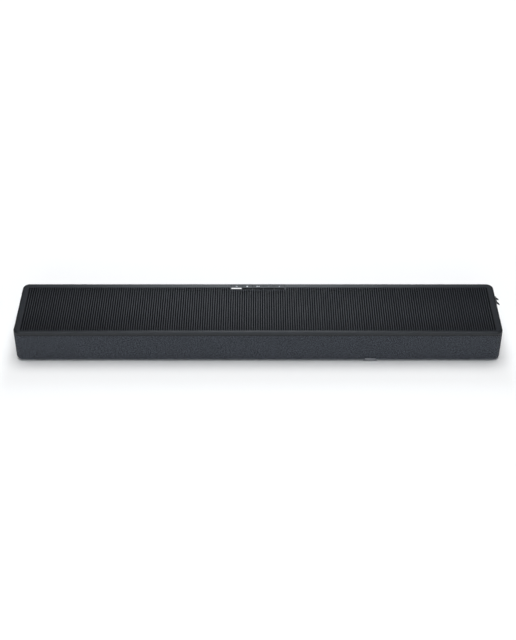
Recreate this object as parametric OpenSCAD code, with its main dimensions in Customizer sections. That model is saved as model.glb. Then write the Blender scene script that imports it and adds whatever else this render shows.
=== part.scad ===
// Long low soundbar with a ribbed top, a textile front, five keys and seven loudspeaker drivers.
// Origin: centre of the footprint on the surface it stands on. +X right, -Y front, +Z up. Millimetres.

/* [Body] */
// Overall length of the body
body_w = 843; // [820:1:880]
// Overall depth of the body
body_d = 140; // [136:1:150]
// Height of the body above its feet
body_h = 61; // [61:1:66]
// Height of the feet below the body
foot_h = 2; // [1.5:0.1:3]
// Radius of the four vertical corners
corner_r = 12.5; // [11:0.5:13]
// Radius of the rim around the top
top_fillet = 4.1; // [3:0.1:4.5]
// Radius of the edge around the bottom
bottom_fillet = 3.8; // [3:0.1:4]
// General wall thickness of the moulded parts
wall = 2.5; // [2:0.1:2.6]

/* [Textile] */
// Thickness of the textile wrap
fabric_t = 0.8; // [0.6:0.1:0.8]
// Half length of the bare rear wall between the two textile ends
rear_half = 390; // [355:5:395]
// Distance from the top face down to the upper edge of the textile
fabric_drop = 6; // [6:0.1:7]
// Height of the shadow gap between textile and top cover
seam_h = 1.1; // [0.6:0.1:1.3]

/* [Ribs] */
// Distance from rib to rib
rib_pitch = 4; // [3.8:0.1:4.2]
// Width of one rib
rib_w = 2.3; // [2:0.1:2.6]
// Number of open slots between the ribs, with one in the middle
slot_count = 205; // [199:2:205]
// Width of the smooth border in front of the ribs
border_front = 7; // [7:0.1:9]
// Width of the smooth border behind the ribs
border_rear = 12.7; // [12:0.1:14]
// Depth of the zone at the keys, from the rear face to the ribs
key_zone_d = 19.5; // [19.5:0.1:21]

/* [Keys] */
// Distance from key to key
key_pitch = 19.2; // [19:0.1:20]
// Depth of one key
key_d = 7.4; // [7:0.1:7.4]
// Distance from the rear face to the middle of the keys
key_inset = 8.9; // [8.9:0.1:9.2]
// Gap around a key
key_gap = 0.4; // [0.3:0.05:0.5]
// Travel of a key
key_travel = 0.5; // [0.3:0.1:0.5]

/* [Drivers] */
// Distance from the middle to the outer front drivers
mid_x = 330; // [325:1:335]
// Distance from the middle to the tweeters
tweeter_x = 285; // [280:1:290]
// Distance from the middle to the bass drivers
woofer_x = 240; // [236:1:244]

/* [Rear] */
// Width of the connector bay
bay_w = 220; // [200:5:220]
// Depth of the connector bay
bay_d = 14; // [12:0.5:14]
// Distance between the two threaded wall inserts
insert_spacing = 400; // [390:5:420]
// Distance from the middle to the bass ports
port_x = 335; // [330:1:345]

/* [Hidden] */
$fn = 72;
eps = 0.01;
z_floor = foot_h;
z_top = foot_h + body_h;
x_end = body_w / 2;
y_front = -body_d / 2;
y_rear = body_d / 2;
z_fabric = z_top - fabric_drop;
z_seam = z_fabric + seam_h;
z_cover = z_top - wall;              // underside of the top cover's plate
frame_t = 2;                         // thickness of the grille frame
skin_in = fabric_t + 0.05;           // inset of the grille frame's outer face
tub_in = fabric_t + frame_t + 0.05;  // inset of the tub's outer face behind the grille frame
tub_inner = tub_in + wall;           // inset of the tub's inner face
tub_floor = 3;                       // thickness of the tub's floor
z_inside = z_floor + tub_floor;
plain_rear_t = 2.5;                  // wall thickness of the bare rear wall
z_shoulder = z_floor + bottom_fillet;

deck_z = z_top - 10;                 // underside of the speaker deck
deck_t = 2.5;
baffle_y = y_front + 8.5;            // front face of the front baffle
baffle_t = 3;
driver_z = (z_inside + deck_z) / 2 + 0.5;
window_half = 400;                   // half length of the tub's front window

rib_h = 4.5;
rib_top = z_top - 0.1;
rib_bottom = rib_top - rib_h;
slot_w = rib_pitch - rib_w;
edge_bar = 0.9;                      // from the ends of the slots to the opening in the top cover
field_half = (slot_count - 1) / 2 * rib_pitch + slot_w / 2 + edge_bar;
field_front = y_front + border_front - edge_bar;
field_rear = y_rear - border_rear + edge_bar;
key_field_rear = y_rear - key_zone_d + edge_bar;
rib_gap = 0.15;                      // gap between the ribbed grille and the top cover
cloth_t = 0.4;

key_count = 5;
key_w = key_pitch - key_gap;
key_y = y_rear - key_inset;
key_zone_half = key_count / 2 * key_pitch;
key_field_half = key_zone_half + 2;
light_w = key_pitch - 1;
light_d = 3.1;
light_y = key_y - key_d / 2 - 0.3 - light_d / 2;
groove_d = 2.4;
guide_z = z_top - 6.8;               // underside of the key guide
guide_t = 1.8;
board_t = 1.6;
control_z = z_top - 12;              // underside of the control board
switch_h = 1.8;
stem_r = 1.5;
stem_bottom = control_z + board_t + switch_h + key_travel + 0.1;

bay_z0 = z_floor + 9;
bay_z1 = z_top - 19;
panel_t = 2;
panel_y = y_rear - bay_d - panel_t;  // inner face of the connector panel
board_z = z_inside + 8;
board_rear = panel_y - 1;
socket_z = board_z + board_t;

post_r = 4;                          // spacers under the speaker deck
stud_r = 1.25;
boss_h = 7;                          // screw bosses on the tub's floor
post_pos = [for (x = [-392, -160, 160, 392], y = [-46, 46]) [x, y]];
foot_pos = [for (x = [-376, 376], y = [-48, 48]) [x, y]];
foot_r = 9;
insert_r = 3.6;
insert_hole_r = 2.1;
insert_len = 10;
port_r = 15;
port_wall = 2;
port_len = 52;
port_z = z_floor + 30;

tag_x = 195.5;
tag_w = [24.3, 18];                  // width at the bottom and at the top
tag_h = 4.4;
tag_t = 0.8;

clip_y = 29.5;
clip_z = z_top - 15;
clip_h = 11;
clip_gap = 10;
clip_reach = 7;
clip_t = 1.8;

// [flange radius, hole radius, cone radius, coil radius, depth of the basket, motor height, cone travel]
MID = [23, 18.9, 14, 6.25, 20, 11, 1.5];
WOOFER = [47, 42.5, 34.5, 12.8, 22, 18, 3];

// [middle x, width, height] of the sockets in the rear panel: mains inlet, video, data, optical
SOCKETS = [[82, 20, 13], [-30, 16, 7], [-62, 14.5, 7], [-90, 11, 11]];
panel_split = -77;
socket_depth = 14;
BASKET_COLOR = "#2a2b2e";
MAGNET_COLOR = "#6d6f73";
CONE_COLOR = "#3a3b3e";
RUBBER_COLOR = "#151516";

// ---------- shared shapes ----------

// Rounded rectangle of the body's plan, moved inwards by inset
module plan(inset = 0) {
  r = corner_r - inset;
  square([body_w - 2 * corner_r, body_d - 2 * inset], center = true);
  square([body_w - 2 * inset, body_d - 2 * corner_r], center = true);
  for (x = [-1, 1], y = [-1, 1])
    translate([x * (x_end - corner_r), y * (y_rear - corner_r)]) circle(r);
}

module slab(inset, z0, z1) translate([0, 0, z0]) linear_extrude(z1 - z0) plan(inset);

// Sweeps a profile around the body: x is 0 at the outer face and negative inwards, y is height
module around() {
  sides = [[0, x_end, body_d], [90, y_rear, body_w], [180, x_end, body_d], [270, y_rear, body_w]];
  for (s = sides)
    rotate([0, 0, s[0]]) translate([s[1], 0, 0]) rotate([90, 0, 0])
      linear_extrude(s[2] - 2 * corner_r, center = true) children();
  for (c = [[1, 1, 0], [-1, 1, 90], [-1, -1, 180], [1, -1, 270]])
    translate([c[0] * (x_end - corner_r), c[1] * (y_rear - corner_r), 0]) rotate([0, 0, c[2]])
      rotate_extrude(angle = 90) translate([corner_r, 0]) children();
}

// Box from its lowest and highest corners
module block(lo, hi) translate(lo) cube(hi - lo);

// Quarter disc below and outside its centre, as the lower edge of the body
module lower_edge(r) {
  translate([-bottom_fillet, z_shoulder]) intersection() {
    circle(r);
    translate([0, -r]) square(r);
  }
}

module tube(r_out, r_in, z0, z1) translate([0, 0, z0]) difference() {
  cylinder(r = r_out, h = z1 - z0);
  translate([0, 0, -1]) cylinder(r = r_in, h = z1 - z0 + 2);
}

// Turns a shape made around +Z to face the front
module facing_front(x, z) translate([x, baffle_y, z]) rotate([90, 0, 0]) children();

// ---------- housing ----------

module base_tub() color("#1d1e21") difference() {
  union() {
    difference() {
      union() {
        slab(tub_in, z_shoulder, z_cover - 0.1);
        slab(bottom_fillet + 0.05, z_floor, z_shoulder);
        slab(bottom_fillet - 0.5, z_floor + 1, z_shoulder);
        around() lower_edge(bottom_fillet - skin_in);
        intersection() {
          block([0.05 - rear_half, y_rear - 12, 0], [rear_half - 0.05, y_rear, z_shoulder]);
          union() {
            slab(bottom_fillet, z_floor, z_shoulder);
            around() lower_edge(bottom_fillet);
          }
        }
      }
      slab(tub_inner, z_inside, z_top);
      block([-window_half, y_front, z_floor + 6], [window_half, y_front + 10, deck_z + 1]);
      block([-rear_half, y_rear - 12, z_shoulder], [rear_half, y_rear + 1, z_top]);
    }
    for (s = [-1, 1]) mirror([s < 0 ? 1 : 0, 0, 0])
      block([x_end - tub_inner - 3, -46, deck_z - 3], [x_end - tub_inner + 1, 46, deck_z]);
    for (p = post_pos) translate([p[0], p[1], z_inside - 1]) cylinder(r = 5.5, h = boss_h + 1);
  }
  for (p = post_pos) translate([p[0], p[1], z_floor - 1]) {
    cylinder(r = 3.2, h = 7);
    cylinder(r = 1.7, h = 20);
  }
  for (p = foot_pos) translate([p[0], p[1], z_floor - 1]) cylinder(r = foot_r + 0.1, h = 2);
}

// The wall that shows at the back, flush with the textile's two ends: two wings and the bay's frame
module rear_wall() color("#1d1e21") {
  rear_wing();
  mirror([1, 0, 0]) rear_wing();
  difference() {
    union() {
      rear_section(-bay_w / 2 - wall, bay_w / 2 + wall);
      block([-bay_w / 2 - wall, y_rear - bay_d, bay_z0 - wall],
            [bay_w / 2 + wall, y_rear - 1, bay_z1 + wall]);
    }
    block([-bay_w / 2, y_rear - bay_d - 1, bay_z0], [bay_w / 2, y_rear + 1, bay_z1]);
    block([-54, y_rear - 12, deck_z - 5], [54, y_rear - tub_in - 0.6, z_top]);
  }
}

// Plate from x0 to x1, thicker at the level of the speaker deck, with a thin upper lip
module rear_section(x0, x1) {
  block([x0, y_rear - plain_rear_t, z_shoulder + 0.05], [x1, y_rear, z_fabric]);
  block([x0, y_rear - tub_inner, deck_z - 4], [x1, y_rear - plain_rear_t + 1, z_fabric]);
  block([x0, y_rear - tub_inner, z_fabric - 1], [x1, y_rear - tub_in, z_cover - 0.1]);
}

// One side of the rear wall, with its ledge, wall insert and bass port
module rear_wing() difference() {
  x0 = bay_w / 2 + wall + 0.1;
  x1 = rear_half - 0.05;
  union() {
    rear_section(x0, x1);
    block([x1 - 3, y_rear - tub_inner, z_shoulder + 0.05], [x1, y_rear - 1, z_fabric]);
    block([x0, y_rear - tub_inner - 3, deck_z - 3], [300, y_rear - tub_inner + 1, deck_z]);
    translate([insert_spacing / 2, y_rear - 1, port_z]) rotate([90, 0, 0])
      cylinder(r = 7, h = insert_len + 2);
  }
  translate([insert_spacing / 2, y_rear + 1, port_z]) rotate([90, 0, 0])
    cylinder(r = insert_r, h = insert_len + 1);
  translate([port_x, y_rear + 1, port_z]) rotate([90, 0, 0]) cylinder(r = port_r + port_wall + 0.1, h = 12);
}

module front_baffle() color("#232428") difference() {
  block([-405, baffle_y, z_inside], [405, baffle_y + baffle_t, deck_z]);
  for (x = [-mid_x, 0, mid_x]) facing_front(x, driver_z) translate([0, 0, -5]) cylinder(r = MID[1], h = 10);
  for (x = [-tweeter_x, tweeter_x]) facing_front(x, driver_z) translate([0, 0, -5])
    cylinder(r = 12.6, h = 10);
}

module speaker_deck() color("#26272b") difference() {
  slab(tub_inner + 0.3, deck_z, deck_z + deck_t);
  block([-500, y_front, 0], [500, baffle_y, z_top]);
  block([-58, y_rear - 21, 0], [58, y_rear, z_top]);
  for (s = [-1, 1]) translate([s * woofer_x, 0, 0]) cylinder(r = WOOFER[1], h = z_top);
  for (p = post_pos) translate([p[0], p[1], 0]) cylinder(r = stud_r + 0.1, h = z_top);
}

// Stiff frame under the textile, open in a row of upright windows along the front
module grille_frame() color("#17181a") difference() {
  slab(skin_in, z_shoulder + 0.05, z_fabric);
  slab(skin_in + frame_t, 0, z_top);
  block([-rear_half, 0, 0], [rear_half, y_rear + 1, z_top]);
  for (i = [-48:48]) translate([i * 8.2 - 3.1, y_front - 1, z_floor + 8]) cube([6.2, 5, 43]);
}

module fabric_wrap() color("#3d4046") difference() {
  around() {
    translate([-fabric_t, z_shoulder]) square([fabric_t, z_fabric - z_shoulder]);
    difference() {
      lower_edge(bottom_fillet);
      translate([-bottom_fillet, z_shoulder]) circle(bottom_fillet - fabric_t);
    }
  }
  block([-rear_half, 0, 0], [rear_half, y_rear + 1, z_top]);
}

module top_cover() color("#303237") difference() {
  union() {
    around() {
      translate([-top_fillet, z_top - top_fillet]) intersection() {
        circle(top_fillet);
        translate([-eps, -eps]) square(top_fillet + eps);
      }
      translate([-top_fillet - 2, z_cover]) square([2 + eps, wall]);
      translate([-wall, z_seam]) square([wall, z_top - top_fillet - z_seam]);
    }
    slab(top_fillet + 1, z_cover, z_top);
    for (x = [-380:95:380], s = [-1, 1]) if (s < 0 || abs(x) > 60) {
      y = s * (y_rear - tub_inner - 0.4);
      block([x - 6, y - 0.3, z_top - 6], [x + 6, y + 0.3, z_top - 1]);
    }
  }
  around() translate([-wall - 3, z_seam - 1]) square([3, z_cover - z_seam + 1]);
  translate([0, 0, z_cover - 1]) linear_extrude(wall + 2) field_plan();
  key_openings();
}

// The ribbed field, with a step at the keys
module field_plan(inset = 0) difference() {
  translate([-field_half + inset, field_front + inset])
    square([2 * field_half - 2 * inset, field_rear - field_front - 2 * inset]);
  translate([-key_field_half - inset, key_field_rear - inset])
    square([2 * key_field_half + 2 * inset, field_rear]);
}

// Openings of the keys, with a light slot and a shadow groove in front of each
module key_openings() {
  block([-key_zone_half - 0.2, key_y - key_d / 2 - 0.3, z_cover - 1],
        [key_zone_half + 0.2, key_y + key_d / 2 + 0.3, z_top + 1]);
  for (i = [0:key_count - 1]) translate([(i - 2) * key_pitch, 0, 0])
    block([-light_w / 2, light_y - light_d / 2 - groove_d, z_cover - 1], [light_w / 2, key_y, z_top + 1]);
}

// One moulding: long slots that leave a rib between each pair, and a thin bar along its edge
module ribbed_grille() color("#34363b") translate([0, 0, rib_bottom]) linear_extrude(rib_h) difference() {
  field_plan(rib_gap);
  for (i = [0:slot_count - 1]) {
    x = (i - (slot_count - 1) / 2) * rib_pitch;
    y1 = abs(x) < key_field_half + rib_w ? key_field_rear : field_rear;
    translate([x - slot_w / 2, field_front + edge_bar])
      square([slot_w, y1 - field_front - 2 * edge_bar]);
  }
}

module grille_cloth() color("#0c0c0e") translate([0, 0, rib_bottom - cloth_t - 0.05])
  linear_extrude(cloth_t) field_plan(1);

// Back of the connector bay in two plates, with the sockets' openings
module rear_panel() color("#17181a") difference() {
  for (x = [[-bay_w / 2 - wall, panel_split - 0.05], [panel_split + 0.05, bay_w / 2 + wall]])
    block([x[0], panel_y, bay_z0 - wall], [x[1], panel_y + panel_t, bay_z1 + wall]);
  for (s = SOCKETS)
    block([s[0] - s[1] / 2 - 0.1, panel_y - 1, socket_z - 0.1],
          [s[0] + s[1] / 2 + 0.1, panel_y + panel_t + 1, socket_z + s[2] + 0.1]);
}

// A flared tube from the rear wall towards the middle of the box
module bass_port() rotate([90, 0, 0]) rotate_extrude() difference() {
  translate([port_r, 0]) square([port_wall, port_len]);
  translate([port_r - 1, -1]) square([1, port_len + 2]);
  translate([port_r, 0]) intersection() {
    square(1.5);
    difference() {
      square(1.5);
      translate([1.5, 1.5]) circle(1.5);
    }
  }
}

module left_bass_port() color("#17181a") translate([-port_x, y_rear - 0.2, port_z]) bass_port();
module right_bass_port() color("#17181a") translate([port_x, y_rear - 0.2, port_z]) bass_port();

module rubber_feet() color("#101011") for (p = foot_pos) translate([p[0], p[1], 0]) {
  cylinder(r = foot_r, h = foot_h + 0.9);
}

// Long screws from below, each with the hexagonal spacer and stud that carry the deck
module housing_screws() color("#8a8d92") for (p = post_pos) translate([p[0], p[1], 0]) {
  difference() {
    translate([0, 0, z_inside + 0.9]) cylinder(r = 2.75, h = 2);
    translate([0, 0, z_inside]) cylinder(r = 1.2, h = 1.9, $fn = 6);
  }
  translate([0, 0, z_inside + 2.5]) cylinder(r = stud_r, h = deck_z + deck_t - z_inside - 2.5);
  translate([0, 0, z_inside + boss_h + 0.05])
    cylinder(r = post_r, h = deck_z - z_inside - boss_h - 0.1, $fn = 6);
}

module wall_inserts() color("#b08d57") for (s = [-1, 1])
  translate([s * insert_spacing / 2, y_rear - 0.1, port_z]) rotate([90, 0, 0])
    tube(insert_r - 0.05, insert_hole_r, 0, insert_len - 0.2);

// Two arms that hold a cable against the end wall
module cable_clip() color("#15161a") translate([x_end + 0.05, clip_y, clip_z]) {
  block([0, -clip_gap / 2 - clip_t, 0], [clip_t, clip_gap / 2 + clip_t, clip_h]);
  for (s = [-1, 1]) mirror([0, s > 0 ? 1 : 0, 0])
    linear_extrude(clip_h) polygon([
      [0, clip_gap / 2], [clip_reach - 1.2, clip_gap / 2], [clip_reach - 0.4, clip_gap / 2 + 1.6],
      [clip_reach, clip_gap / 2 + 1.4], [clip_reach - 0.3, clip_gap / 2 + 3], [clip_t, clip_gap / 2 + clip_t],
      [0, clip_gap / 2 + clip_t]
    ]);
}

module front_tag() color("#a9abae") translate([tag_x, y_front - 0.1, z_floor]) rotate([90, 0, 0])
  linear_extrude(tag_t) polygon([
    [-tag_w[0] / 2, 0], [tag_w[0] / 2, 0], [tag_w[1] / 2, tag_h], [-tag_w[1] / 2, tag_h]
  ]);

// ---------- controls ----------

// One key: cap, flange under the cover and stem above its switch
module key(i) color("#3f4247") translate([(i - 2) * key_pitch, key_y, 0]) {
  block([-key_w / 2, -key_d / 2, z_cover - 0.6], [key_w / 2, key_d / 2, z_top - 0.1]);
  block([-key_w / 2, -key_d / 2, z_cover - 1.8], [key_w / 2, key_d / 2 + 1, z_cover - 0.3]);
  translate([0, 0, stem_bottom]) cylinder(r = stem_r, h = z_cover - 1 - stem_bottom);
}

module power_key() key(0);
module source_key() key(1);
module pairing_key() key(2);
module volume_down_key() key(3);
module volume_up_key() key(4);

// Plate under the keys that guides their stems and carries the light guides
module key_guide() color("#1b1c1f") {
  difference() {
    block([-49.8, y_rear - 18, guide_z], [49.8, y_rear - 3.8, guide_z + guide_t]);
    for (i = [0:key_count - 1]) translate([(i - 2) * key_pitch, 0, 0]) {
      translate([0, key_y, 0]) cylinder(r = stem_r + 0.35, h = z_top);
      block([-4, light_y - 1, 0], [4, light_y + 1, z_top]);
    }
  }
  for (s = [-1, 1])
    block([s * 49.2 - 0.6, y_rear - 18, guide_z + guide_t - eps], [s * 49.2 + 0.6, y_rear - 6, z_cover]);
  for (x = [-47, 47], y = [y_rear - 16, y_rear - 7])
    translate([x, y, control_z + board_t]) cylinder(r = 1.5, h = guide_z - control_z - board_t + eps);
}

module light_guide(i) translate([(i - 2) * key_pitch, light_y, 0])
  block([0.05 - light_w / 2, -light_d / 2, guide_z + guide_t],
        [light_w / 2 - 0.05, light_d / 2, z_top - 0.2]);

module status_light() color("#ffffff") light_guide(0);
module key_lights() color("#45484d") for (i = [1:key_count - 1]) light_guide(i);

module control_board() color("#1c4a32")
  block([-54, y_rear - 20, control_z], [54, y_rear - 4, control_z + board_t]);

module tact_switches() color("#b9bbbe") for (i = [0:key_count - 1])
  translate([(i - 2) * key_pitch, key_y, control_z + board_t]) {
    translate([-2.6, -2.6, 0]) cube([5.2, 5.2, switch_h - 0.4]);
    cylinder(r = 1.4, h = switch_h);
  }

module indicator_leds() color("#f2f2e8") for (i = [0:key_count - 1])
  translate([(i - 2) * key_pitch - 1.5, light_y - 0.8, control_z + board_t]) cube([3, 1.6, 1.2]);

// ---------- drivers, made around +Z with the flange's back at z = 0 ----------

module driver_basket(d) difference() {
  rotate_extrude() polygon([
    [d[0], 2], [d[2] + 3, 2], [d[2] + 3, -4], [d[3] + 6.2, 1.5 - d[4]], [d[3] + 1, 1.5 - d[4]],
    [d[3] + 1, -d[4]], [d[3] + 7.75, -d[4]], [d[3] + 7.75, 1.5 - d[4]], [d[1] - 0.5, -4], [d[1] - 0.5, 0],
    [d[0], 0]
  ]);
  for (a = [0:60:359]) rotate([0, 0, a])
    block([d[3] + 5, -d[2] / 6, 3.2 - d[4]], [d[1] + 1, d[2] / 6, -5]);
}

module driver_magnet(d) rotate_extrude() translate([0, -d[4] - d[5]]) {
  square([d[3] - 0.6, d[5] - 0.05]);
  square([d[3] * 1.9 + 2, 2.5]);
  translate([d[3] + 2.2, 2.5 - eps]) square([d[3] * 0.9 - 0.2, d[5] - 5]);
  translate([d[3] + 0.65, d[5] - 2.5 - eps]) square([d[3] * 0.9 + 1.3, 2.45]);
}

// Cone, coil former and dust cap as one outline, from the former's lower end outwards and back
module driver_cone(d) {
  c = d[3];
  neck = -d[4] * 0.55;
  rotate_extrude() polygon([
    [c - 0.25, 4.5 - d[4] - d[5] + d[6]], [c + 0.25, 4.5 - d[4] - d[5] + d[6]], [c + 0.25, neck - 1],
    [d[2] - 1, 1], [d[2], 1], [d[2], 2], [d[2] - 1.5, 2], [c + 0.6, neck + 0.2],
    [c * 0.85, neck + c * 0.2], [c * 0.5, neck + c * 0.38], [0, neck + c * 0.45],
    [0, neck + c * 0.37], [c * 0.45, neck + c * 0.3], [c * 0.8, neck + c * 0.13], [c - 0.25, neck - 0.8]
  ]);
}

module driver_surround(d) rotate_extrude() translate([0, 2]) {
  r = 1.6;
  translate([d[2] - 1.3, 0]) square([1.4, 0.5]);
  translate([d[2] + 3.1, 0]) square([1.5, 0.5]);
  translate([d[2] + r, 0]) intersection() {
    difference() {
      circle(r + 0.1);
      circle(r - 0.4);
    }
    translate([-r - 1, 0]) square([2 * r + 2, r + 1]);
  }
}

module mid_place(x) facing_front(x, driver_z) children();
module woofer_place(x) translate([x, 0, deck_z - 2]) children();

module left_mid_basket() color(BASKET_COLOR) mid_place(-mid_x) driver_basket(MID);
module left_mid_magnet() color(MAGNET_COLOR) mid_place(-mid_x) driver_magnet(MID);
module left_mid_cone() color(CONE_COLOR) mid_place(-mid_x) driver_cone(MID);
module left_mid_surround() color(RUBBER_COLOR) mid_place(-mid_x) driver_surround(MID);
module centre_mid_basket() color(BASKET_COLOR) mid_place(0) driver_basket(MID);
module centre_mid_magnet() color(MAGNET_COLOR) mid_place(0) driver_magnet(MID);
module centre_mid_cone() color(CONE_COLOR) mid_place(0) driver_cone(MID);
module centre_mid_surround() color(RUBBER_COLOR) mid_place(0) driver_surround(MID);
module right_mid_basket() color(BASKET_COLOR) mid_place(mid_x) driver_basket(MID);
module right_mid_magnet() color(MAGNET_COLOR) mid_place(mid_x) driver_magnet(MID);
module right_mid_cone() color(CONE_COLOR) mid_place(mid_x) driver_cone(MID);
module right_mid_surround() color(RUBBER_COLOR) mid_place(mid_x) driver_surround(MID);
module left_woofer_basket() color(BASKET_COLOR) woofer_place(-woofer_x) driver_basket(WOOFER);
module left_woofer_magnet() color(MAGNET_COLOR) woofer_place(-woofer_x) driver_magnet(WOOFER);
module left_woofer_cone() color(CONE_COLOR) woofer_place(-woofer_x) driver_cone(WOOFER);
module left_woofer_surround() color(RUBBER_COLOR) woofer_place(-woofer_x) driver_surround(WOOFER);
module right_woofer_basket() color(BASKET_COLOR) woofer_place(woofer_x) driver_basket(WOOFER);
module right_woofer_magnet() color(MAGNET_COLOR) woofer_place(woofer_x) driver_magnet(WOOFER);
module right_woofer_cone() color(CONE_COLOR) woofer_place(woofer_x) driver_cone(WOOFER);
module right_woofer_surround() color(RUBBER_COLOR) woofer_place(woofer_x) driver_surround(WOOFER);

// Face plate and motor of a tweeter, with a ring gap for the dome's coil
module tweeter_housing() rotate_extrude() {
  translate([9.6, 0]) square([5.4, 2]);
  translate([9.6, -7]) square([2.4, 7 + eps]);
  translate([0, -9]) square([12, 2 + eps]);
  translate([0, -7]) square([7.7, 6]);
}

module tweeter_dome() rotate_extrude() {
  translate([8.3, -5]) square([0.6, 6]);
  difference() {
    translate([0, -9.1]) circle(13.5);
    translate([0, -9.1]) circle(13);
    translate([-20, -30]) square([20, 60]);
    translate([0, -30]) square([20, 30.2]);
    translate([9.1, -30]) square([20, 60]);
  }
}

module left_tweeter_housing() color(BASKET_COLOR) facing_front(-tweeter_x, driver_z) tweeter_housing();
module left_tweeter_dome() color("#8f9195") facing_front(-tweeter_x, driver_z) tweeter_dome();
module right_tweeter_housing() color(BASKET_COLOR) facing_front(tweeter_x, driver_z) tweeter_housing();
module right_tweeter_dome() color("#8f9195") facing_front(tweeter_x, driver_z) tweeter_dome();

// ---------- electronics ----------

module board(x0, x1) {
  block([x0, -16, board_z], [x1, board_rear, board_z + board_t]);
  for (x = [x0 + 5, x1 - 5], y = [-11, 30]) translate([x, y, z_inside])
    cylinder(r = 2.5, h = board_z - z_inside + eps);
}

// The main board on the left and the power board on the right
module circuit_boards() color("#1c4a32") {
  board(-148, 34);
  board(44, 148);
}

module transformer() color("#c9a24a") translate([60, 8, board_z + board_t]) {
  block([0, 4, 0], [26, 20, 20]);
  block([-3, 0, 3], [29, 24, 17]);
}

// [x, y, radius, height] of the capacitors
CANS = [[104, 0, 8, 22], [124, 0, 8, 22], [104, 24, 5, 14], [120, 24, 5, 14]];

module capacitors() color("#26324a") for (p = CANS)
  translate([p[0], p[1], board_z + board_t]) cylinder(r = p[2], h = p[3]);

module heat_sink() color("#9a9ca0") translate([-120, -8, board_z + board_t]) {
  cube([70, 26, 3]);
  for (i = [0:11]) translate([i * 6 + 1, 0, 3 - eps]) cube([2, 26, 12]);
}

// A socket's shell on its board, with its mouth flush with the rear panel and hollow to depth
module socket(i, depth) difference() {
  s = SOCKETS[i];
  translate([s[0], panel_y + panel_t, socket_z])
    block([-s[1] / 2, -socket_depth, 0], [s[1] / 2, 0, s[2]]);
  translate([s[0], panel_y + panel_t, socket_z + s[2] / 2]) rotate([90, 0, 0])
    translate([0, 0, -1]) linear_extrude(depth + 1) children();
}

module mains_inlet() color("#101012") {
  socket(0, 11) {
    for (s = [-1, 1]) translate([s * 3.9, 0]) circle(3.9);
    square([7.8, 7.8], center = true);
  }
  for (s = [-1, 1]) translate([SOCKETS[0][0] + s * 4.3, panel_y + panel_t - 1, socket_z + SOCKETS[0][2] / 2])
    rotate([90, 0, 0]) cylinder(r = 1.2, h = socket_depth - 2);
}

module video_socket() color("#b4b6ba") {
  socket(1, 11) polygon([[-7, 2.2], [7, 2.2], [7, -0.4], [5.4, -2.4], [-5.4, -2.4], [-7, -0.4]]);
  block([SOCKETS[1][0] - 5, panel_y - socket_depth + 4, socket_z + 3.2],
        [SOCKETS[1][0] + 5, panel_y + panel_t - 2, socket_z + 4.2]);
}

module data_socket() color("#b4b6ba") {
  socket(2, 11) square([12.5, 5], center = true);
  block([SOCKETS[2][0] - 5.5, panel_y - socket_depth + 4, socket_z + 3.9],
        [SOCKETS[2][0] + 5.5, panel_y + panel_t - 2, socket_z + 5.6]);
}

module optical_socket() color("#16171a") socket(3, 7) square([8.4, 8.4], center = true);

base_tub();
rear_wall();
front_baffle();
speaker_deck();
grille_frame();
fabric_wrap();
top_cover();
ribbed_grille();
grille_cloth();
rear_panel();
left_bass_port();
right_bass_port();
rubber_feet();
housing_screws();
wall_inserts();
cable_clip();
front_tag();
power_key();
source_key();
pairing_key();
volume_down_key();
volume_up_key();
key_guide();
status_light();
key_lights();
control_board();
tact_switches();
indicator_leds();
left_mid_basket();
left_mid_magnet();
left_mid_cone();
left_mid_surround();
centre_mid_basket();
centre_mid_magnet();
centre_mid_cone();
centre_mid_surround();
right_mid_basket();
right_mid_magnet();
right_mid_cone();
right_mid_surround();
left_woofer_basket();
left_woofer_magnet();
left_woofer_cone();
left_woofer_surround();
right_woofer_basket();
right_woofer_magnet();
right_woofer_cone();
right_woofer_surround();
left_tweeter_housing();
left_tweeter_dome();
right_tweeter_housing();
right_tweeter_dome();
circuit_boards();
transformer();
capacitors();
heat_sink();
mains_inlet();
video_socket();
data_socket();
optical_socket();
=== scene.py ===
"""Looks of a long low soundbar: ribbed top, textile front, five keys and a connector bay."""
import math

import bmesh
import bpy
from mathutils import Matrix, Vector
from mathutils.geometry import tessellate_polygon


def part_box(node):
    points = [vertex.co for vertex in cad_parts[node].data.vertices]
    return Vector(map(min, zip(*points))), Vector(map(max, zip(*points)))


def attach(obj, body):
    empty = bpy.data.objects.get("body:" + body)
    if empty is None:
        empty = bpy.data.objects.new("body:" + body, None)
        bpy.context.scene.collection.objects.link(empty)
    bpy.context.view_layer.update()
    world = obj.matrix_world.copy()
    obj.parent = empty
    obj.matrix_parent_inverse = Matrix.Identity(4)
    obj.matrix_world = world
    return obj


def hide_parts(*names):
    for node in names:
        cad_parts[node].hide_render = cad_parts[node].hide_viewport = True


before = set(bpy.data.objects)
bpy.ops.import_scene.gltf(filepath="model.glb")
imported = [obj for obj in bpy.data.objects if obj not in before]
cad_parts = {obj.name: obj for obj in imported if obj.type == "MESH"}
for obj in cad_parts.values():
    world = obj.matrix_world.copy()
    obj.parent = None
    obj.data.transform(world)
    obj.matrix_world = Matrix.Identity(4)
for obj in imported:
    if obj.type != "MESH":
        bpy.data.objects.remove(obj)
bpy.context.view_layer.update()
MM = 0.001

# ---------- places from the frame, and sizes ----------

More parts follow.
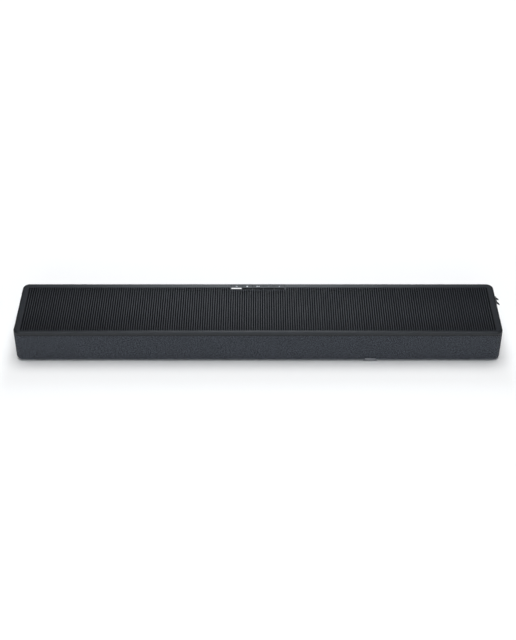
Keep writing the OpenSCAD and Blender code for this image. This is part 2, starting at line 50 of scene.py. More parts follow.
COVER_LO, COVER_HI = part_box("top_cover")
TEXTILE_LO, TEXTILE_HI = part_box("fabric_wrap")
RIBS_LO, RIBS_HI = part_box("ribbed_grille")
TUB_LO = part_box("base_tub")[0]
BODY_W = COVER_HI.x - COVER_LO.x
BODY_D = COVER_HI.y - COVER_LO.y
TOP_Z = COVER_HI.z
FRONT_Y, REAR_Y = COVER_LO.y, COVER_HI.y
CORNER_R = 12.5 * MM
TOP_FILLET = 4.1 * MM
BOTTOM_FILLET = 3.8 * MM
TEXTILE_TOP = BOTTOM_FILLET * (math.pi / 2 - 1) + TEXTILE_HI.z - TEXTILE_LO.z
RIB_PITCH = 4 * MM
RIB_W = 2.3 * MM
SLOT_COUNT = 205
RIB_ROUND = 0.7 * MM
RIM_W = 0.75 * MM
TEXTILE_T = 0.8 * MM
REAR_HALF = 390 * MM
MARK_T = 0.03 * MM

# the field of ribs, and its step where the keys are
FIELD_HALF = (SLOT_COUNT - 1) / 2 * RIB_PITCH + (RIB_PITCH - RIB_W) / 2 + 0.9 * MM
FIELD_FRONT = FRONT_Y + 6.1 * MM
FIELD_REAR = REAR_Y - 11.8 * MM
KEY_FIELD_HALF = 50 * MM
KEY_FIELD_REAR = REAR_Y - 18.6 * MM

# keys, light guides and the groove in front of them
KEY_PITCH = 19.2 * MM
KEY_Y = REAR_Y - 8.9 * MM
KEY_D = 7.4 * MM
KEY_W = KEY_PITCH - 0.4 * MM
LIGHT_D = 3.1 * MM
LIGHT_Y = KEY_Y - KEY_D / 2 - 0.3 * MM - LIGHT_D / 2
GROOVE_D = 2.4 * MM

CAMERA_DISTANCE = 2.356
CAMERA_ELEVATION = math.radians(39.05)
CAMERA_LENS = 73.25
KEY_NAMES = ("power_key", "source_key", "pairing_key", "volume_down_key", "volume_up_key")


# ---------- node helpers ----------

class Graph:
    """Short spelling for building a material's nodes."""

    def __init__(self, name):
        self.material = bpy.data.materials.new(name)
        self.material.use_nodes = True
        self.tree = self.material.node_tree
        self.shader = self.tree.nodes["Principled BSDF"]

    def node(self, kind, **settings):
        made = self.tree.nodes.new("ShaderNode" + kind)
        for key, value in settings.items():
            setattr(made, key, value)
        return made

    def link(self, a, b):
        self.tree.links.new(a, b)

    def set(self, **values):
        for key, value in values.items():
            self.shader.inputs[key.replace("_", " ")].default_value = value

    def math(self, operation, a, b=None):
        made = self.node("Math", operation=operation)
        for socket, value in zip(made.inputs, (a, b)):
            if isinstance(value, (int, float)):
                socket.default_value = value
            elif value is not None:
                self.link(value, socket)
        return made.outputs[0]

    def mix(self, factor, a, b):
        made = self.node("Mix", data_type="RGBA")
        for socket, value in ((made.inputs[0], factor), (made.inputs[6], a), (made.inputs[7], b)):
            if isinstance(value, (int, float, tuple)):
                socket.default_value = value
            else:
                self.link(value, socket)
        return made.outputs[2]

    def ramp(self, value, low, high):
        made = self.node("MapRange")
        self.link(value, made.inputs[0])
        made.inputs[1].default_value = low
        made.inputs[2].default_value = high
        return made.outputs[0]

    def noise(self, vector, scale, detail=2.0, roughness=0.5):
        made = self.node("TexNoise")
        self.link(vector, made.inputs["Vector"])
        made.inputs["Scale"].default_value = scale
        made.inputs["Detail"].default_value = detail
        made.inputs["Roughness"].default_value = roughness
        return made.outputs[0]

    def bump(self, height, distance, strength=1.0):
        made = self.node("Bump")
        made.inputs["Strength"].default_value = strength
        made.inputs["Distance"].default_value = distance
        self.link(height, made.inputs["Height"])
        self.link(made.outputs[0], self.shader.inputs["Normal"])


def gray(value, blue=1.0):
    """A nearly neutral colour, as the anthracite plastics have, slightly towards blue."""
    return (value * (1 - 0.12 * blue), value * (1 - 0.03 * blue), value * (1 + 0.17 * blue), 1.0)


def plastic(name, base, rough=0.5, spread=0.12, grain=0.02 * MM, grain_scale=2600, specular=0.5):
    """Moulded plastic: fine spark-eroded grain, faint cloudy colour and roughness changes."""
    g = Graph(name)
    where = g.node("TexCoord").outputs["Object"]
    cloud = g.noise(where, 35, 3.0)
    grit = g.noise(where, grain_scale, 2.0, 0.6)
    low = tuple(c * (1 - spread) for c in base[:3]) + (1.0,)
    high = tuple(c * (1 + spread) for c in base[:3]) + (1.0,)
    shade = g.math("ADD", g.math("MULTIPLY", cloud, 0.6), g.math("MULTIPLY", grit, 0.4))
    g.link(g.mix(g.ramp(shade, 0.3, 0.7), low, high), g.shader.inputs["Base Color"])
    uneven = g.math("ADD", g.math("MULTIPLY", cloud, 0.12), rough - 0.06)
    g.link(uneven, g.shader.inputs["Roughness"])
    g.set(Specular_IOR_Level=specular)
    g.bump(grit, grain)
    return g.material


def metal(name, base, rough=0.35, brush=(1, 40, 40)):
    """Plated or turned metal with fine directional scratches."""
    g = Graph(name)
    where = g.node("TexCoord").outputs["Object"]
    stretch = g.node("Mapping")
    stretch.inputs["Scale"].default_value = brush
    g.link(where, stretch.inputs["Vector"])
    lines = g.noise(stretch.outputs[0], 60, 4.0, 0.6)
    low = tuple(c * 0.85 for c in base) + (1.0,)
    g.link(g.mix(lines, low, tuple(base) + (1.0,)), g.shader.inputs["Base Color"])
    g.link(g.math("ADD", g.math("MULTIPLY", lines, 0.2), rough - 0.1), g.shader.inputs["Roughness"])
    g.set(Metallic=1.0)
    g.bump(lines, 0.02 * MM, 0.5)
    return g.material


def lit(name, color, strength):
    """A light guide with its lamp on."""
    g = Graph(name)
    where = g.node("TexCoord").outputs["Object"]
    haze = g.noise(where, 400, 2.0)
    bright = g.mix(haze, tuple(c * 0.94 for c in color) + (1.0,), tuple(color) + (1.0,))
    g.link(bright, g.shader.inputs["Emission Color"])
    g.set(Base_Color=(0.05, 0.05, 0.05, 1), Emission_Strength=strength, Roughness=0.4)
    return g.material


def textile(name, dark, light, pitch=1.0 * MM, seam_shade_from=None):
    """Plain weave of melange yarn on a UV map in metres: u runs round the body and v up it.

    Above the given height the colour fades to near black: painted shade where the cloth turns into the seam
    under the cover's rim.
    """
    g = Graph(name)
    uv = g.node("UVMap", uv_map="weave").outputs[0]
    axes = g.node("SeparateXYZ")
    g.link(uv, axes.inputs[0])
    u = g.math("DIVIDE", axes.outputs[0], pitch)
    v = g.math("DIVIDE", axes.outputs[1], pitch)
    column, row = g.math("FLOOR", u), g.math("FLOOR", v)
    over = g.math("MODULO", g.math("ABSOLUTE", g.math("ADD", column, row)), 2.0)
    round_u = g.math("SINE", g.math("MULTIPLY", g.math("FRACT", u), math.pi))
    round_v = g.math("SINE", g.math("MULTIPLY", g.math("FRACT", v), math.pi))
    # a warp yarn shows where over is 1, a weft yarn where it is 0
    warp = g.math("MULTIPLY", over, g.math("MULTIPLY", round_u, g.math("POWER", round_v, 0.35)))
    weft_on = g.math("SUBTRACT", 1.0, over)
    weft = g.math("MULTIPLY", weft_on, g.math("MULTIPLY", round_v, g.math("POWER", round_u, 0.35)))
    height = g.math("ADD", warp, weft)

    def yarn_tone(across, along, seed):
        place = g.node("CombineXYZ")
        g.link(g.math("MULTIPLY", across, 1.0), place.inputs[0])
        g.link(g.math("MULTIPLY", along, 0.22), place.inputs[1])
        place.inputs[2].default_value = seed
        return g.noise(place.outputs[0], 1.0, 2.0, 0.7)

    tone = g.math("ADD", g.math("MULTIPLY", over, yarn_tone(column, v, 3.7)),
                  g.math("MULTIPLY", weft_on, yarn_tone(row, u, 9.1)))
    cloud = g.noise(uv, 560, 2.0, 0.7)
    tone = g.math("ADD", g.math("MULTIPLY", tone, 0.3), g.math("MULTIPLY", cloud, 0.7))
    color = g.mix(g.ramp(tone, 0.42, 0.58), dark, light)
    # painted shade: the low parts of the weave are darkened, where the yarns dip under each other
    weave_with_painted_shade = g.mix(g.ramp(height, 0.0, 0.75), tuple(c * 0.25 for c in dark[:3]) + (1.0,), color)
    # painted shade: near its top edge the cloth fades to near black in the seam
    if seam_shade_from is not None:
        seam_shade_mask = g.ramp(axes.outputs[1], seam_shade_from, seam_shade_from + 0.5 * MM)
        weave_with_painted_shade = g.mix(seam_shade_mask, weave_with_painted_shade, (0.002, 0.002, 0.002, 1))
    g.link(weave_with_painted_shade, g.shader.inputs["Base Color"])
    g.set(Roughness=0.9, Sheen_Weight=0.04, Sheen_Roughness=0.5, Specular_IOR_Level=0.2)
    fibres = g.noise(uv, 9000, 2.0, 0.7)
    g.bump(g.math("ADD", height, g.math("MULTIPLY", fibres, 0.35)), 0.28 * MM)
    return g.material


# ---------- mesh helpers ----------

def shape(name, verts, faces, material, body="housing", smooth=True):
    mesh = bpy.data.meshes.new(name)
    mesh.from_pydata([tuple(v) for v in verts], [], faces)
    mesh.update()
    obj = bpy.data.objects.new(name, mesh)
    bpy.context.scene.collection.objects.link(obj)
    mesh.materials.append(material)
    for polygon in mesh.polygons:
        polygon.use_smooth = smooth
    fix_normals(mesh)
    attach(obj, body)
    return obj


def fix_normals(mesh):
    bm = bmesh.new()
    bm.from_mesh(mesh)
    bmesh.ops.recalc_face_normals(bm, faces=bm.faces)
    bm.to_mesh(mesh)
    bm.free()


def soften(obj, width, segments=2, angle=30):
    """Rounds the hard edges and keeps flat faces flat."""
    bevel = obj.modifiers.new("Bevel", "BEVEL")
    bevel.width = width
    bevel.segments = segments
    bevel.limit_method = "ANGLE"
    bevel.angle_limit = math.radians(angle)
    bevel.harden_normals = True
    return obj


def loft(rings, closed=True, caps=True):
    """Vertices and faces through a list of rings of equal length."""
    n = len(rings[0])
    verts = [p for ring in rings for p in ring]
    faces = []
    for k in range(len(rings) - 1):
        for i in range(n if closed else n - 1):
            j = (i + 1) % n
            faces.append((k * n + i, k * n + j, (k + 1) * n + j, (k + 1) * n + i))
    if caps:
        faces.append(tuple(range(n))[::-1])
        faces.append(tuple(range((len(rings) - 1) * n, len(rings) * n)))
    return verts, faces


def paint(node, material):
    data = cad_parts[node].data
    data.materials.clear()
    data.materials.append(material)


# ---------- camera, light and floor ----------


def make_camera():
    target = Vector((0.0, FRONT_Y + 0.1105, TUB_LO.z))
    away = Vector((0.0, -math.cos(CAMERA_ELEVATION), math.sin(CAMERA_ELEVATION)))
    data = bpy.data.cameras.new("camera")
    data.lens = CAMERA_LENS
    camera = bpy.data.objects.new("camera", data)
    camera.location = target + away * CAMERA_DISTANCE
    camera.rotation_euler = (math.pi / 2 - CAMERA_ELEVATION, 0.0, 0.0)
    bpy.context.scene.collection.objects.link(camera)
    bpy.context.scene.camera = camera


def make_softbox(name, place, size, power, in_reflections=True, in_diffuse=True):
    data = bpy.data.lights.new(name, "AREA")
    data.shape = "RECTANGLE"
    data.size, data.size_y = size
    data.energy = power
    data.color = (0.86, 0.93, 1.0)
    lamp = bpy.data.objects.new(name, data)
    lamp.location = place
    lamp.visible_glossy = in_reflections
    lamp.visible_diffuse = in_diffuse
    lamp.rotation_euler = (Vector((0, 0, 0.05)) - Vector(place)).to_track_quat("-Z", "Y").to_euler()
    bpy.context.scene.collection.objects.link(lamp)


def make_sky_light(tilt, spread, strength):
    """A wide soft source overhead, leaning to the rear, so that the floor is evenly white."""
    data = bpy.data.lights.new("overhead", "SUN")
    data.angle = math.radians(spread)
    data.energy = strength
    lamp = bpy.data.objects.new("overhead", data)
    lamp.rotation_euler = (-math.radians(tilt), 0, 0)
    lamp.visible_glossy = False
    bpy.context.scene.collection.objects.link(lamp)


def make_sky(tree):
    """Bright straight up and dim towards the horizon."""
    up = tree.nodes.new("ShaderNodeSeparateXYZ")
    power = tree.nodes.new("ShaderNodeMath")
    power.operation = "POWER"
    power.inputs[1].default_value = 4.0
    scale = tree.nodes.new("ShaderNodeMath")
    scale.operation = "MULTIPLY_ADD"
    scale.inputs[1].default_value = 0.8
    scale.inputs[2].default_value = 0.07
    where = tree.nodes.new("ShaderNodeTexCoord")
    tree.links.new(where.outputs["Generated"], up.inputs[0])
    tree.links.new(up.outputs[2], power.inputs[0])
    tree.links.new(power.outputs[0], scale.inputs[0])
    tree.links.new(scale.outputs[0], tree.nodes["Background"].inputs[1])


def make_surroundings():
    scene = bpy.context.scene
    scene.view_settings.view_transform = "Standard"
    world = bpy.data.worlds.new("studio")
    scene.world = world
    world.use_nodes = True
    make_sky(world.node_tree)
    bpy.ops.mesh.primitive_plane_add(size=30)
    floor = bpy.context.object
    floor.name = "floor"
    g = Graph("floor_paper")
    where = g.node("TexCoord").outputs["Object"]
    grain = g.noise(where, 900, 2.0)
    g.link(g.mix(grain, (0.9, 0.9, 0.9, 1), (0.93, 0.93, 0.93, 1)), g.shader.inputs["Base Color"])
    g.set(Roughness=0.6, Specular_IOR_Level=0.2)
    floor.data.materials.append(g.material)
    make_sky_light(8, 50, 2.8)
    make_softbox("rear_softbox", (0.0, 1.5, 1.3), (0.6, 0.8), 11)
    make_softbox("front_fill", (0.0, -2.0, 0.65), (1.8, 0.7), 17, False)
    make_softbox("rim_strip", (0.0, -1.2, 1.9), (2.4, 0.5), 30, in_diffuse=False)


# ---------- materials ----------

M = {
    "tub": plastic("tub_plastic", gray(0.012), 0.55),
    "inner": plastic("inner_plastic", gray(0.018), 0.5),
    # grille frame: its own black plastic, made darker still as painted shade in the seam above the cloth
    "frame": plastic("frame_plastic", gray(0.004), 0.7, specular=0.2),
    "cover": plastic("cover_plastic", gray(0.014), 0.45),
    "rib": plastic("rib_plastic", gray(0.014), 0.45),
    "panel": plastic("panel_plastic", gray(0.01), 0.55),
    "port": plastic("port_plastic", gray(0.01), 0.35, grain=0.005 * MM),
    "clip": plastic("clip_plastic", gray(0.012), 0.5),
    "key": plastic("key_plastic", gray(0.014), 0.45),
    "guide": plastic("guide_plastic", gray(0.012), 0.5),
    # unlit light guides: smoked plastic, made darker as painted shade in place of a recessed top
    "guide_painted_shade": plastic("light_guide", gray(0.01), 0.5, grain=0.004 * MM, specular=0.2),
    "guide_sides_mask_shade": plastic("guide_sides_mask_shade_plastic", gray(0.0015), 0.8, specular=0.1),
    "rubber": plastic("foot_rubber", gray(0.008, 0.2), 0.8, grain=0.05 * MM, specular=0.3),
    "ink": plastic("mark_ink", (0.75, 0.77, 0.8, 1), 0.5, 0.04),
    "ink_faint": plastic("mark_ink_faint", (0.3, 0.31, 0.33, 1), 0.5, 0.04),
    "lit": lit("lit_guide", (0.98, 0.99, 1.0), 0.85),
    "tag": metal("tag_metal", (0.32, 0.33, 0.35), 0.45),
    "steel": metal("screw_steel", (0.25, 0.25, 0.26), 0.4),
    "brass": metal("insert_brass", (0.55, 0.4, 0.18), 0.3, (40, 1, 40)),
    "plated": metal("socket_metal", (0.5, 0.5, 0.52), 0.3),
    "sink": metal("sink_aluminium", (0.55, 0.56, 0.58), 0.4),
    "motor": metal("motor_steel", (0.3, 0.3, 0.31), 0.35),
    "laminate": plastic("board_laminate", (0.01, 0.07, 0.03, 1), 0.35, 0.2),
    "led": plastic("led_lens", (0.85, 0.85, 0.75, 1), 0.15, 0.05, 0.002 * MM),
    "basket": plastic("basket_paint", gray(0.02, 0.3), 0.4),
    "cone": plastic("cone_paper", gray(0.03, 0.2), 0.85, 0.2, 0.06 * MM, 1500),
    "surround": plastic("surround_rubber", gray(0.008, 0.2), 0.6, specular=0.4),
    "dome": plastic("dome_silk", gray(0.05, 0.3), 0.45, 0.1, 0.03 * MM, 5000),
    "tape": plastic("transformer_tape", (0.6, 0.38, 0.08, 1), 0.4, 0.1),
    "sleeve": plastic("capacitor_sleeve", (0.02, 0.03, 0.08, 1), 0.25, 0.1, 0.004 * MM),
    "inlet": plastic("inlet_plastic", gray(0.007, 0.2), 0.3, grain=0.005 * MM),
    "cloth": textile("acoustic_cloth", (0.003, 0.003, 0.0033, 1), (0.006, 0.006, 0.0066, 1)),
    # the textile's top edge carries painted shade in the seam
    "textile": textile("textile", (0.02, 0.0222, 0.0265, 1), (0.138, 0.15, 0.176, 1),
                       seam_shade_from=TEXTILE_TOP - 0.9 * MM),
}

NODE_MATERIALS = {
    "tub": ("base_tub", "rear_wall"), "inner": ("front_baffle", "speaker_deck"), "frame": ("grille_frame",),
    "panel": ("rear_panel",), "guide": ("key_guide",), "steel": ("housing_screws",),
    "brass": ("wall_inserts",), "laminate": ("control_board", "circuit_boards"),
    "plated": ("tact_switches", "video_socket", "data_socket"), "led": ("indicator_leds",),
    "tape": ("transformer",), "sleeve": ("capacitors",), "sink": ("heat_sink",),
    "inlet": ("mains_inlet", "optical_socket"), "cloth": ("grille_cloth",),
}


def paint_nodes():
    for key, names in NODE_MATERIALS.items():
        for name in names:
            paint(name, M[key])
    for side in ("left_mid", "centre_mid", "right_mid", "left_woofer", "right_woofer"):
        for part in ("basket", "magnet", "cone", "surround"):
            paint(side + "_" + part, M["motor" if part == "magnet" else part])
    for side in ("left", "right"):
        paint(side + "_tweeter_housing", M["basket"])
        paint(side + "_tweeter_dome", M["dome"])


# ---------- outlines ----------

def plan_loop(inset, z, steps=12):
    """Ring of points round the body's plan, moved inwards by inset."""
    r = CORNER_R - inset
    ring = []
    for k, (sx, sy) in enumerate(((1, 1), (-1, 1), (-1, -1), (1, -1))):
        for i in range(steps + 1):
            a = math.radians(90 * (k + i / steps))
            ring.append((sx * (BODY_W / 2 - CORNER_R) + r * math.cos(a),
                         sy * (BODY_D / 2 - CORNER_R) + r * math.sin(a), z))
    return ring


def field_loop(grow=0.0):
    """Opening of the ribbed field in the top cover, with its step at the keys."""
    x, notch = FIELD_HALF + grow, KEY_FIELD_HALF - grow
    front, rear, key_rear = FIELD_FRONT - grow, FIELD_REAR + grow, KEY_FIELD_REAR + grow
    return [(-x, front), (x, front), (x, rear), (notch, rear), (notch, key_rear),
            (-notch, key_rear), (-notch, rear), (-x, rear)]


def key_zone_loop(grow=0.0):
    """Opening of the five keys together with the light slots and grooves in front of them."""
    half = 2.5 * KEY_PITCH + 0.2 * MM
    rear, step = KEY_Y + KEY_D / 2 + 0.3 * MM, KEY_Y - KEY_D / 2 - 0.3 * MM
    front, light = LIGHT_Y - LIGHT_D / 2 - GROOVE_D, (KEY_PITCH - 1 * MM) / 2
    points = [(-half - grow, rear + grow), (-half - grow, step - grow)]
    for i in range(5):
        x = (i - 2) * KEY_PITCH
        points += [(x - light - grow, step - grow), (x - light - grow, front - grow),
                   (x + light + grow, front - grow), (x + light + grow, step - grow)]
    points += [(half + grow, step - grow), (half + grow, rear + grow)]
    return points


# ---------- top cover ----------

def make_cover():
    """Shell with a rounded rim, and rounded lips round the rib field and the key opening."""
    top, under = TOP_Z, TOP_Z - 2.5 * MM
    lip = 0.35 * MM
    seam = COVER_LO.z
    rings = []
    for i in range(9):
        a = math.radians(90 * i / 8)
        rings.append(plan_loop(TOP_FILLET * (1 - math.sin(a)), top - TOP_FILLET * (1 - math.cos(a))))
    rings += [plan_loop(0, seam + 0.6 * MM), plan_loop(0.08 * MM, seam + 0.3 * MM),
              plan_loop(0.3 * MM, seam + 0.08 * MM), plan_loop(0.6 * MM, seam), plan_loop(2.5 * MM, seam),
              plan_loop(2.5 * MM, under)]
    verts, faces = loft(rings, caps=False)
    n = len(rings[0])
    last = len(verts) - n
    holes_top, holes_under = [], []
    for loop_of in (field_loop, key_zone_loop):
        ring_set = []
        for grow, z in ((lip, top), (lip * 0.62, top - lip * 0.08), (lip * 0.29, top - lip * 0.29),
                        (lip * 0.08, top - lip * 0.62), (0, top - lip), (0, under)):
            ring_set.append([(x, y, z) for x, y in loop_of(grow)])
        first = len(verts)
        more, walls = loft(ring_set, caps=False)
        verts += more
        faces += [tuple(first + i for i in face) for face in walls]
        count = len(ring_set[0])
        holes_top.append(list(range(first, first + count)))
        holes_under.append(list(range(first + 5 * count, first + 6 * count)))
    for outer, holes in ((list(range(n)), holes_top), (list(range(last, last + n)), holes_under)):
        index = [i for loop in [outer] + holes for i in loop]
        loops = [[Vector(verts[i]) for i in loop] for loop in [outer] + holes]
        for a, b, c in tessellate_polygon(loops):
            faces.append((index[a], index[b], index[c]))
    obj = shape("top_cover_shell", verts, faces, M["cover"])
    weighted(obj)
    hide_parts("top_cover")


def weighted(obj):
    """Flat faces stay flat and the rounding between them shades smoothly."""
    obj.data.set_sharp_from_angle(angle=math.radians(50))
    normals = obj.modifiers.new("Normals", "WEIGHTED_NORMAL")
    normals.keep_sharp = True
    normals.weight = 100


# ---------- ribbed grille ----------

def bar(x0, x1, y0, y1, z0, z1, r, steps=3):
    """Closed bar with a rounded top edge all round, as rings of a rounded rectangle in plan."""
    rings = [(0, z0), (0, z1 - r)]
    for i in range(1, steps + 1):
        a = math.radians(90 * i / steps)
        rings.append((r * (1 - math.cos(a)), z1 - r + r * math.sin(a)))
    loops = [[(x0 + d, y0 + d, z), (x1 - d, y0 + d, z), (x1 - d, y1 - d, z), (x0 + d, y1 - d, z)]
             for d, z in rings]
    return loft(loops)


def join(parts):
    verts, faces = [], []
    for more, walls in parts:
        first = len(verts)
        verts += more
        faces += [tuple(first + i for i in face) for face in walls]
    return verts, faces


def make_grille():
    """Rounded ribs on a thin RIM_W, seen over black cloth."""
    z1, z0 = RIBS_HI.z, RIBS_LO.z
    inset = 0.15 * MM
    x, front = FIELD_HALF - inset, FIELD_FRONT + inset
    rear, notch = FIELD_REAR - inset, KEY_FIELD_HALF + inset
    key_rear = KEY_FIELD_REAR - inset
    parts = [bar(-x, x, front, front + RIM_W, z0, z1, 0.25 * MM)]
    for s in (-1, 1):
        a, b = sorted((s * notch, s * x))
        parts.append(bar(a, b, rear - RIM_W, rear, z0, z1, 0.25 * MM))
        a, b = sorted((s * notch, s * (notch + RIM_W)))
        parts.append(bar(a, b, key_rear - RIM_W, rear, z0, z1, 0.25 * MM))
        a, b = sorted((s * x, s * (x - RIM_W)))
        parts.append(bar(a, b, front, rear, z0, z1, 0.25 * MM))
    parts.append(bar(-notch, notch, key_rear - RIM_W, key_rear, z0, z1, 0.25 * MM))
    for i in range(SLOT_COUNT - 1):
        middle = (i - (SLOT_COUNT - 2) / 2) * RIB_PITCH
        near = abs(middle) < KEY_FIELD_HALF + RIB_W / 2
        back = (key_rear if near else rear) - RIM_W * 0.4
        parts.append(bar(middle - RIB_W / 2, middle + RIB_W / 2, front + RIM_W * 0.4, back,
                         z0, z1, RIB_ROUND))
    verts, faces = join(parts)
    obj = shape("rib_field", verts, faces, M["rib"])
    obj.data.set_sharp_from_angle(angle=math.radians(50))
    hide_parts("ribbed_grille")


# ---------- textile ----------

def make_textile():
    """Cloth round the front and both ends, under the lower edge and into the rear."""
    lo_z, hi_z = TEXTILE_LO.z, TEXTILE_HI.z
    shoulder = lo_z + BOTTOM_FILLET
    path, lengths = [], []

    def add(x, y, nx, ny):
        if path:
            px, py = path[-1][:2]
            lengths.append(lengths[-1] + math.hypot(x - px, y - py))
        else:
            lengths.append(0.0)
        path.append((x, y, nx, ny))

    steps = 16
    bx, by = BODY_W / 2 - CORNER_R, BODY_D / 2 - CORNER_R
    add(REAR_HALF, REAR_Y, 0, 1)
    for k, (sx, sy) in ((0, (1, 1)), (3, (1, -1)), (2, (-1, -1)), (1, (-1, 1))):
        for i in range(steps + 1):
            a = math.radians(90 * (k + 1 - i / steps))
            add(sx * bx + CORNER_R * math.cos(a), sy * by + CORNER_R * math.sin(a), math.cos(a), math.sin(a))
    add(-REAR_HALF, REAR_Y, 0, 1)
    profile = []
    for i in range(9):
        a = math.radians(90 * (1 - i / 8))
        profile.append((BOTTOM_FILLET * (1 - math.cos(a)), shoulder - BOTTOM_FILLET * math.sin(a)))
    profile += [(0, shoulder + 0.5 * (hi_z - shoulder)), (0, hi_z - 0.5 * MM), (0.08 * MM, hi_z - 0.2 * MM),
                (0.25 * MM, hi_z - 0.05 * MM), (0.5 * MM, hi_z)]
    inner = [(TEXTILE_T, hi_z), (TEXTILE_T, shoulder)]
    inner_fillet = BOTTOM_FILLET - TEXTILE_T
    for i in range(1, 9):
        a = math.radians(90 * i / 8)
        inner.append((TEXTILE_T + inner_fillet * (1 - math.cos(a)), shoulder - inner_fillet * math.sin(a)))
    section = profile + inner
    heights = [0.0]
    for (d0, z0), (d1, z1) in zip(section, section[1:]):
        heights.append(heights[-1] + math.hypot(d1 - d0, z1 - z0))
    rings = [[(x - nx * d, y - ny * d, z) for d, z in section] for x, y, nx, ny in path]
    verts, faces = loft(rings)
    obj = shape("textile_wrap", verts, faces, M["textile"])
    uv = obj.data.uv_layers.new(name="weave")
    n = len(section)
    for loop in obj.data.loops:
        k, i = divmod(loop.vertex_index, n)
        uv.data[loop.index].uv = (lengths[k], heights[i])
    obj.data.set_sharp_from_angle(angle=math.radians(60))
    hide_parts("fabric_wrap")


# ---------- keys ----------

def rounded_rect(x0, x1, y0, y1, r, steps=4):
    ring = []
    for k, (cx, cy) in enumerate(((x1 - r, y1 - r), (x0 + r, y1 - r), (x0 + r, y0 + r), (x1 - r, y0 + r))):
        for i in range(steps + 1):
            a = math.radians(90 * (k + i / steps))
            ring.append((cx + r * math.cos(a), cy + r * math.sin(a)))
    return ring


def cap(x0, x1, y0, y1, z0, z1, corner, edge, steps=3):
    """Block with rounded corners in plan and a rounded upper edge."""
    rings = [[(x, y, z0) for x, y in rounded_rect(x0, x1, y0, y1, corner)]]
    for i in range(steps + 1):
        a = math.radians(90 * i / steps)
        d = edge * (1 - math.cos(a))
        z = z1 - edge + edge * math.sin(a)
        plan = rounded_rect(x0 + d, x1 - d, y0 + d, y1 - d, max(corner - d, 1e-5))
        rings.append([(x, y, z) for x, y in plan])
    return loft(rings)


def turned(profile, place, axis="z", steps=48):
    """Surface turned from (radius, height) pairs about Z, or about -Y for the rear parts."""
    rings = []
    for k in range(steps):
        a = 2 * math.pi * k / steps
        ring = []
        for r, h in profile:
            u, v = r * math.cos(a), r * math.sin(a)
            p = (u, v, h) if axis == "z" else (u, -h, v)
            ring.append((p[0] + place[0], p[1] + place[1], p[2] + place[2]))
        rings.append(ring)
    n = len(profile)
    verts = [p for ring in rings for p in ring]
    faces = [(k * n + i, k * n + (i + 1) % n, (k + 1) % steps * n + (i + 1) % n, (k + 1) % steps * n + i)
             for k in range(steps) for i in range(n)]
    return verts, faces


def make_keys():
    for i, name in enumerate(KEY_NAMES):
        lo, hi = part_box(name)
        x = (i - 2) * KEY_PITCH
        x0, x1, y0, y1 = x - KEY_W / 2, x + KEY_W / 2, KEY_Y - KEY_D / 2, KEY_Y + KEY_D / 2
        flange = hi.z - 3.7 * MM
        parts = [cap(x0, x1, y0, y1, flange + 0.9 * MM, hi.z, 0.35 * MM, 0.25 * MM),
                 cap(x0, x1, y0, y1 + 1 * MM, flange - 0.5 * MM, flange + 1 * MM, 0.3 * MM, 0.1 * MM),
                 turned([(0.0001 * MM, lo.z), (1.3 * MM, lo.z), (1.5 * MM, lo.z + 0.2 * MM),
                         (1.5 * MM, flange), (0.0001 * MM, flange)], (x, KEY_Y, 0), steps=24)]
        verts, faces = join(parts)
        key = shape(name + "_cap", verts, faces, M["key"], name + "_body")
        weighted(key)
        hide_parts(name)
        make_mark(i, name, x, hi.z)


def strip(points, width, closed=False):
    """Flat band of even width along a line in plan, as outline quads."""
    verts, faces = [], []
    count = len(points)
    for k, (x, y) in enumerate(points):
        a = points[(k - 1) % count] if closed or k > 0 else points[k]
        b = points[(k + 1) % count] if closed or k < count - 1 else points[k]
        dx, dy = b[0] - a[0], b[1] - a[1]
        size = math.hypot(dx, dy)
        nx, ny = -dy / size * width / 2, dx / size * width / 2
        verts += [(x + nx, y + ny), (x - nx, y - ny)]
    for k in range(count if closed else count - 1):
        j = (k + 1) % count
        faces.append((2 * k, 2 * k + 1, 2 * j + 1, 2 * j))
    return verts, faces


def arc(cx, cy, r, start, end, steps=20):
    return [(cx + r * math.cos(math.radians(start + (end - start) * k / steps)),
             cy + r * math.sin(math.radians(start + (end - start) * k / steps))) for k in range(steps + 1)]


def mark_lines(kind):
    """Centre lines of each generic key mark in millimetres, with the line width."""
    if kind == 0:
        return [(arc(0, -0.1, 1.25, 130, 410), 0.42), ([(0, 0.3), (0, 1.5)], 0.42)]
    if kind == 1:
        bars = ((-1.3, 0.6), (-0.4, 0.6), (0.5, 0.6), (1.3, 0.5))
        return [([(-1.3, y), (1.3, y)], width) for y, width in bars]
    if kind == 2:
        lines = [([(-0.3, 0), (0.3, 0)], 0.6)]
        for side in (0, 180):
            lines += [(arc(0, 0, r, side - 38, side + 38), 0.38) for r in (1.0, 1.75, 2.5)]
        return lines
    if kind == 3:
        return [([(-1.3, 0), (1.3, 0)], 0.42)]
    return [([(-1.3, 0), (1.3, 0)], 0.5), ([(0, -1.3), (0, 1.3)], 0.5)]


def make_mark(i, name, x, z):
    """Printed mark, a hair above the key's face."""
    verts, faces = [], []
    for line, width in mark_lines(i):
        flat, quads = strip([(a * MM, b * MM) for a, b in line], width * MM)
        first, n = len(verts), len(flat)
        verts += [(px + x, py + KEY_Y, z + MARK_T) for px, py in flat]
        verts += [(px + x, py + KEY_Y, z - MARK_T) for px, py in flat]
        faces += [tuple(first + v for v in quad) for quad in quads]
        faces += [tuple(first + n + v for v in reversed(quad)) for quad in quads]
        edge = [0] + list(range(2, n, 2)) + list(range(n - 1, 0, -2))
        for a, b in zip(edge, edge[1:] + edge[:1]):
            faces.append((first + a, first + b, first + n + b, first + n + a))
    ink = M["ink_faint" if name == "volume_down_key" else "ink"]
    mark = shape(name + "_mark", verts, faces, ink, name + "_body", smooth=False)


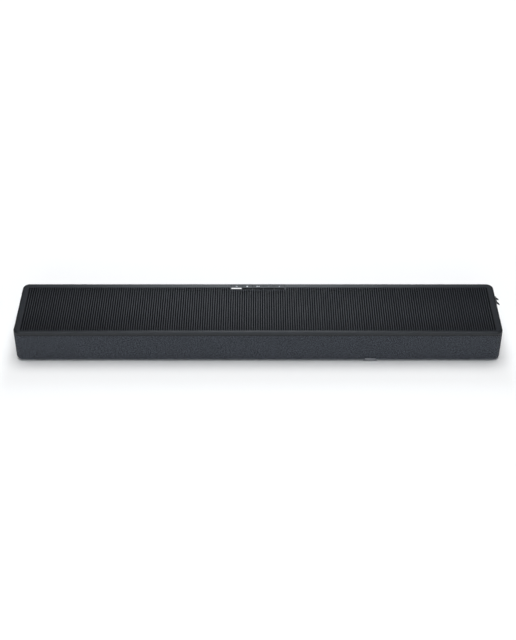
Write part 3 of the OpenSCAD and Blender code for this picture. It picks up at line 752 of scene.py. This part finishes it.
def make_lights():
    """Light guides whose sides are near black: a black masking that keeps the lit guide's glow to its face,
    and painted shade on the sides down in the slots.
    """
    for index, names in ((0, "status_light"), (1, "key_lights")):
        lo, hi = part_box(names)
        width = KEY_PITCH - 1.1 * MM
        set_back = 0 if index == 0 else 1.1 * MM
        parts = []
        for i in ([0] if index == 0 else range(1, 5)):
            x = (i - 2) * KEY_PITCH
            parts.append(cap(x - width / 2, x + width / 2, lo.y + set_back, hi.y, lo.z, hi.z,
                             0.4 * MM, 0.25 * MM))
        verts, faces = join(parts)
        # the unlit guides carry painted shade in their colour
        obj = shape(names + "_guide", verts, faces, M["lit" if index == 0 else "guide_painted_shade"])
        obj.data.materials.append(M["guide_sides_mask_shade"])
        # faces below the top get the near-black masking, which is also painted shade in the slots
        for face in obj.data.polygons:
            face.material_index = 1 if face.center.z < hi.z - 0.2 * MM else 0
        weighted(obj)
        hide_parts(names)


# ---------- small parts ----------

def make_feet():
    lo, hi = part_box("rubber_feet")
    parts = []
    for x in (lo.x + 9 * MM, hi.x - 9 * MM):
        for y in (lo.y + 9 * MM, hi.y - 9 * MM):
            parts.append(turned([(0.001 * MM, 0.5 * MM), (6.2 * MM, 0.5 * MM), (6.6 * MM, 0.1 * MM),
                                 (7 * MM, 0),
                                 (8.2 * MM, 0), (8.8 * MM, 0.25 * MM), (9 * MM, 0.8 * MM), (9 * MM, hi.z),
                                 (0.001 * MM, hi.z)], (x, y, 0)))
    verts, faces = join(parts)
    obj = shape("feet", verts, faces, M["rubber"])
    obj.data.set_sharp_from_angle(angle=math.radians(50))
    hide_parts("rubber_feet")


def make_tag():
    lo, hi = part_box("front_tag")
    middle, h = (lo.x + hi.x) / 2, hi.z - lo.z
    half = ((hi.x - lo.x) / 2, 9 * MM)
    rows = [[(middle - half[0], lo.z), (middle + half[0], lo.z), (middle + half[1], lo.z + h),
             (middle - half[1], lo.z + h)]]
    verts = [(x, y, z) for y in (lo.y, hi.y) for x, z in rows[0]]
    faces = [(0, 1, 2, 3), (7, 6, 5, 4), (0, 4, 5, 1), (1, 5, 6, 2), (2, 6, 7, 3), (3, 7, 4, 0)]
    obj = shape("front_tag_plate", verts, faces, M["tag"], smooth=False)
    soften(obj, 0.25 * MM)
    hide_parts("front_tag")


def make_clip():
    """Flat foot on the end wall with two thin arms that droop outwards."""
    lo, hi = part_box("cable_clip")
    middle, reach = (lo.y + hi.y) / 2, hi.x - lo.x
    half, gap, foot = (hi.y - lo.y) / 2, 5 * MM, 1.8 * MM
    parts = [bar(lo.x, lo.x + foot, lo.y, hi.y, lo.z, hi.z, 0.4 * MM)]
    for side in (-1, 1):
        rings = []
        for k in range(9):
            f = k / 8
            x = lo.x + foot * 0.5 + (reach - foot * 0.5) * f
            inner, outer = gap + 1.3 * MM * f, min(gap + (1.8 + 1.2 * f) * MM, half)
            top = hi.z - 1 * MM - 5.2 * MM * f ** 1.4
            deep = (4.6 - 2.4 * f) * MM
            corners = [(inner, top - deep), (outer, top - deep), (outer, top - 0.3 * MM),
                       (outer - 0.3 * MM, top), (inner + 0.3 * MM, top), (inner, top - 0.3 * MM)]
            rings.append([(x, middle + side * y, z) for y, z in corners])
        parts.append(loft(rings))
    verts, faces = join(parts)
    obj = shape("cable_clip_arms", verts, faces, M["clip"])
    obj.data.set_sharp_from_angle(angle=math.radians(40))
    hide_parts("cable_clip")


def make_ports():
    for side in ("left", "right"):
        lo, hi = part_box(side + "_bass_port")
        x, z = (lo.x + hi.x) / 2, (lo.z + hi.z) / 2
        length, r = hi.y - lo.y, 15 * MM
        flare = [(r + 1.5 * MM * (1 - math.cos(a)), 1.5 * MM * (1 - math.sin(a)))
                 for a in (math.radians(90 * k / 8) for k in range(9))]
        profile = [(r + 2 * MM, length), (r + 0.3 * MM, length), (r, length - 0.4 * MM)]
        profile += flare + [(r + 1.8 * MM, 0.05 * MM), (r + 2 * MM, 0.3 * MM)]
        verts, faces = turned(profile, (x, hi.y, z), "y", 96)
        obj = shape(side + "_port_tube", verts, faces, M["port"])
        obj.data.set_sharp_from_angle(angle=math.radians(50))
        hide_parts(side + "_bass_port")


make_camera()
make_surroundings()
paint_nodes()
make_cover()
make_grille()
make_textile()
make_keys()
make_lights()
make_feet()
make_tag()
make_clip()
make_ports()
